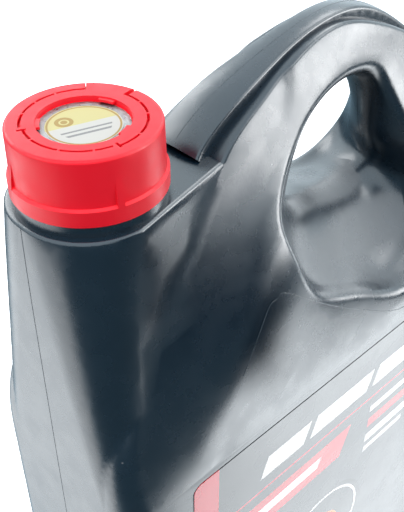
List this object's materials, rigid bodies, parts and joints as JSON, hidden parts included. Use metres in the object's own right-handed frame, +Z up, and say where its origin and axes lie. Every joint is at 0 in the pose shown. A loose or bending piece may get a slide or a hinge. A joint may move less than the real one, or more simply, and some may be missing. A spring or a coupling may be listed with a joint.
{
  "type": "oil bottle",
  "caption": "Flat-sided blow-moulded oil bottle with an arched carrying handle beside the neck, a round screw cap with a pull ring, and a printed front label.",
  "frame": {"origin": "middle of the bottle's footprint, on the plane of its foot", "axes": "+Z up, +X from the neck towards the handle, -Y is the label side"},
  "size_m": [0.222, 0.0769, 0.3387],
  "materials": {
    "black_plastic": "satin",
    "red_plastic": "satin",
    "liner_foam": "matt",
    "foil": "crinkled",
    "sticker_print": "printed",
    "label_print": "printed, laminated"
  },
  "bodies": {
    "bottle": {"bottle": "black_plastic", "front_label": "label_print"},
    "liner": {"cap_liner": "liner_foam"},
    "cap": {"cap": "red_plastic", "foil_disc": "foil", "round_sticker": "sticker_print"}
  },
  "joints": [
    {"name": "cap_lift", "type": "slide", "parent": "bottle", "child": "liner", "axis": [0, 0, 1], "range_m": [0, 0.0201]},
    {"name": "cap_turn", "type": "hinge", "parent": "liner", "child": "cap", "pos_m": [-0.0854, 0, 0.336], "axis": [0, 0, 1], "range_deg": [0, 1440]}
  ],
  "couplings": [
    {"joint": "cap_lift", "follows": "cap_turn", "m_per_rad": 0.00079577}
  ]
}
